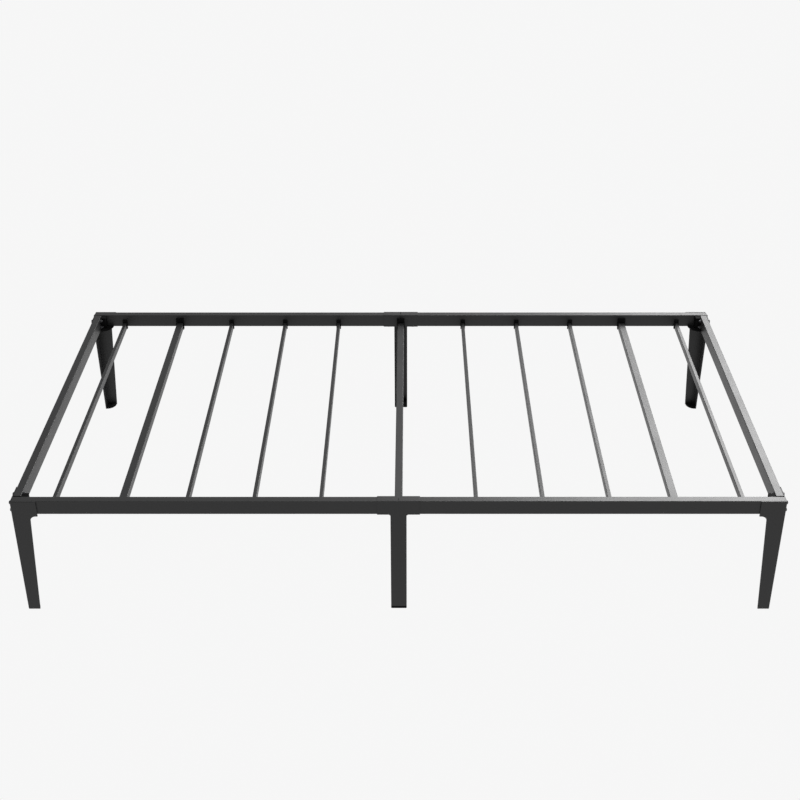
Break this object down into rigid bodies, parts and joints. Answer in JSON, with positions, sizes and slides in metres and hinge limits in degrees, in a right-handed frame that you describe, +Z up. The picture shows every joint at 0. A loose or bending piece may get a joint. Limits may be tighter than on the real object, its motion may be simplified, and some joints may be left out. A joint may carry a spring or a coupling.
{
  "type": "platform bed frame",
  "caption": "Low twin-size platform bed frame of black steel tube, with angle-section corner legs, mid legs, recessed cross bars in plastic holders and foot pads.",
  "frame": {"origin": "on the floor under the middle of the frame", "axes": "+X along the bed's length, +Y across the bed, +Z up"},
  "size_m": [1.9506, 1.0156, 0.3485],
  "materials": {
    "powder_coat": "semi-gloss black powder coat with a fine texture",
    "black_plastic": "moulded black plastic, slightly glossy",
    "bolt_steel": "black oxide steel"
  },
  "bodies": {
    "root": {"corner_leg_left_front": "powder_coat", "corner_foot_pad_left_front": "black_plastic", "side_rail_left_front": "powder_coat", "corner_connector_left_front": "black_plastic", "corner_leg_left_rear": "powder_coat", "corner_foot_pad_left_rear": "black_plastic", "side_rail_left_rear": "powder_coat", "corner_connector_left_rear": "black_plastic", "corner_leg_right_front": "powder_coat", "corner_foot_pad_right_front": "black_plastic", "side_rail_right_front": "powder_coat", "corner_connector_right_front": "black_plastic", "corner_leg_right_rear": "powder_coat", "corner_foot_pad_right_rear": "black_plastic", "side_rail_right_rear": "powder_coat", "corner_connector_right_rear": "black_plastic", "mid_leg_front": "powder_coat", "mid_foot_pad_front": "black_plastic", "rail_joint_insert_front": "powder_coat", "mid_leg_rear": "powder_coat", "mid_foot_pad_rear": "black_plastic", "rail_joint_insert_rear": "powder_coat", "end_rail_left": "powder_coat", "end_rail_right": "powder_coat", "centre_bar": "powder_coat", "centre_bar_holder_front": "black_plastic", "centre_bar_holder_rear": "black_plastic", "slat_left_1": "powder_coat", "slat_left_1_holder_front": "black_plastic", "slat_left_1_holder_rear": "black_plastic", "slat_right_1": "powder_coat", "slat_right_1_holder_front": "black_plastic", "slat_right_1_holder_rear": "black_plastic", "slat_left_2": "powder_coat", "slat_left_2_holder_front": "black_plastic", "slat_left_2_holder_rear": "black_plastic", "slat_right_2": "powder_coat", "slat_right_2_holder_front": "black_plastic", "slat_right_2_holder_rear": "black_plastic", "slat_left_3": "powder_coat", "slat_left_3_holder_front": "black_plastic", "slat_left_3_holder_rear": "black_plastic", "slat_right_3": "powder_coat", "slat_right_3_holder_front": "black_plastic", "slat_right_3_holder_rear": "black_plastic", "slat_left_4": "powder_coat", "slat_left_4_holder_front": "black_plastic", "slat_left_4_holder_rear": "black_plastic", "slat_right_4": "powder_coat", "slat_right_4_holder_front": "black_plastic", "slat_right_4_holder_rear": "black_plastic", "slat_left_5": "powder_coat", "slat_left_5_holder_front": "black_plastic", "slat_left_5_holder_rear": "black_plastic", "slat_right_5": "powder_coat", "slat_right_5_holder_front": "black_plastic", "slat_right_5_holder_rear": "black_plastic"}
  },
  "joints": []
}
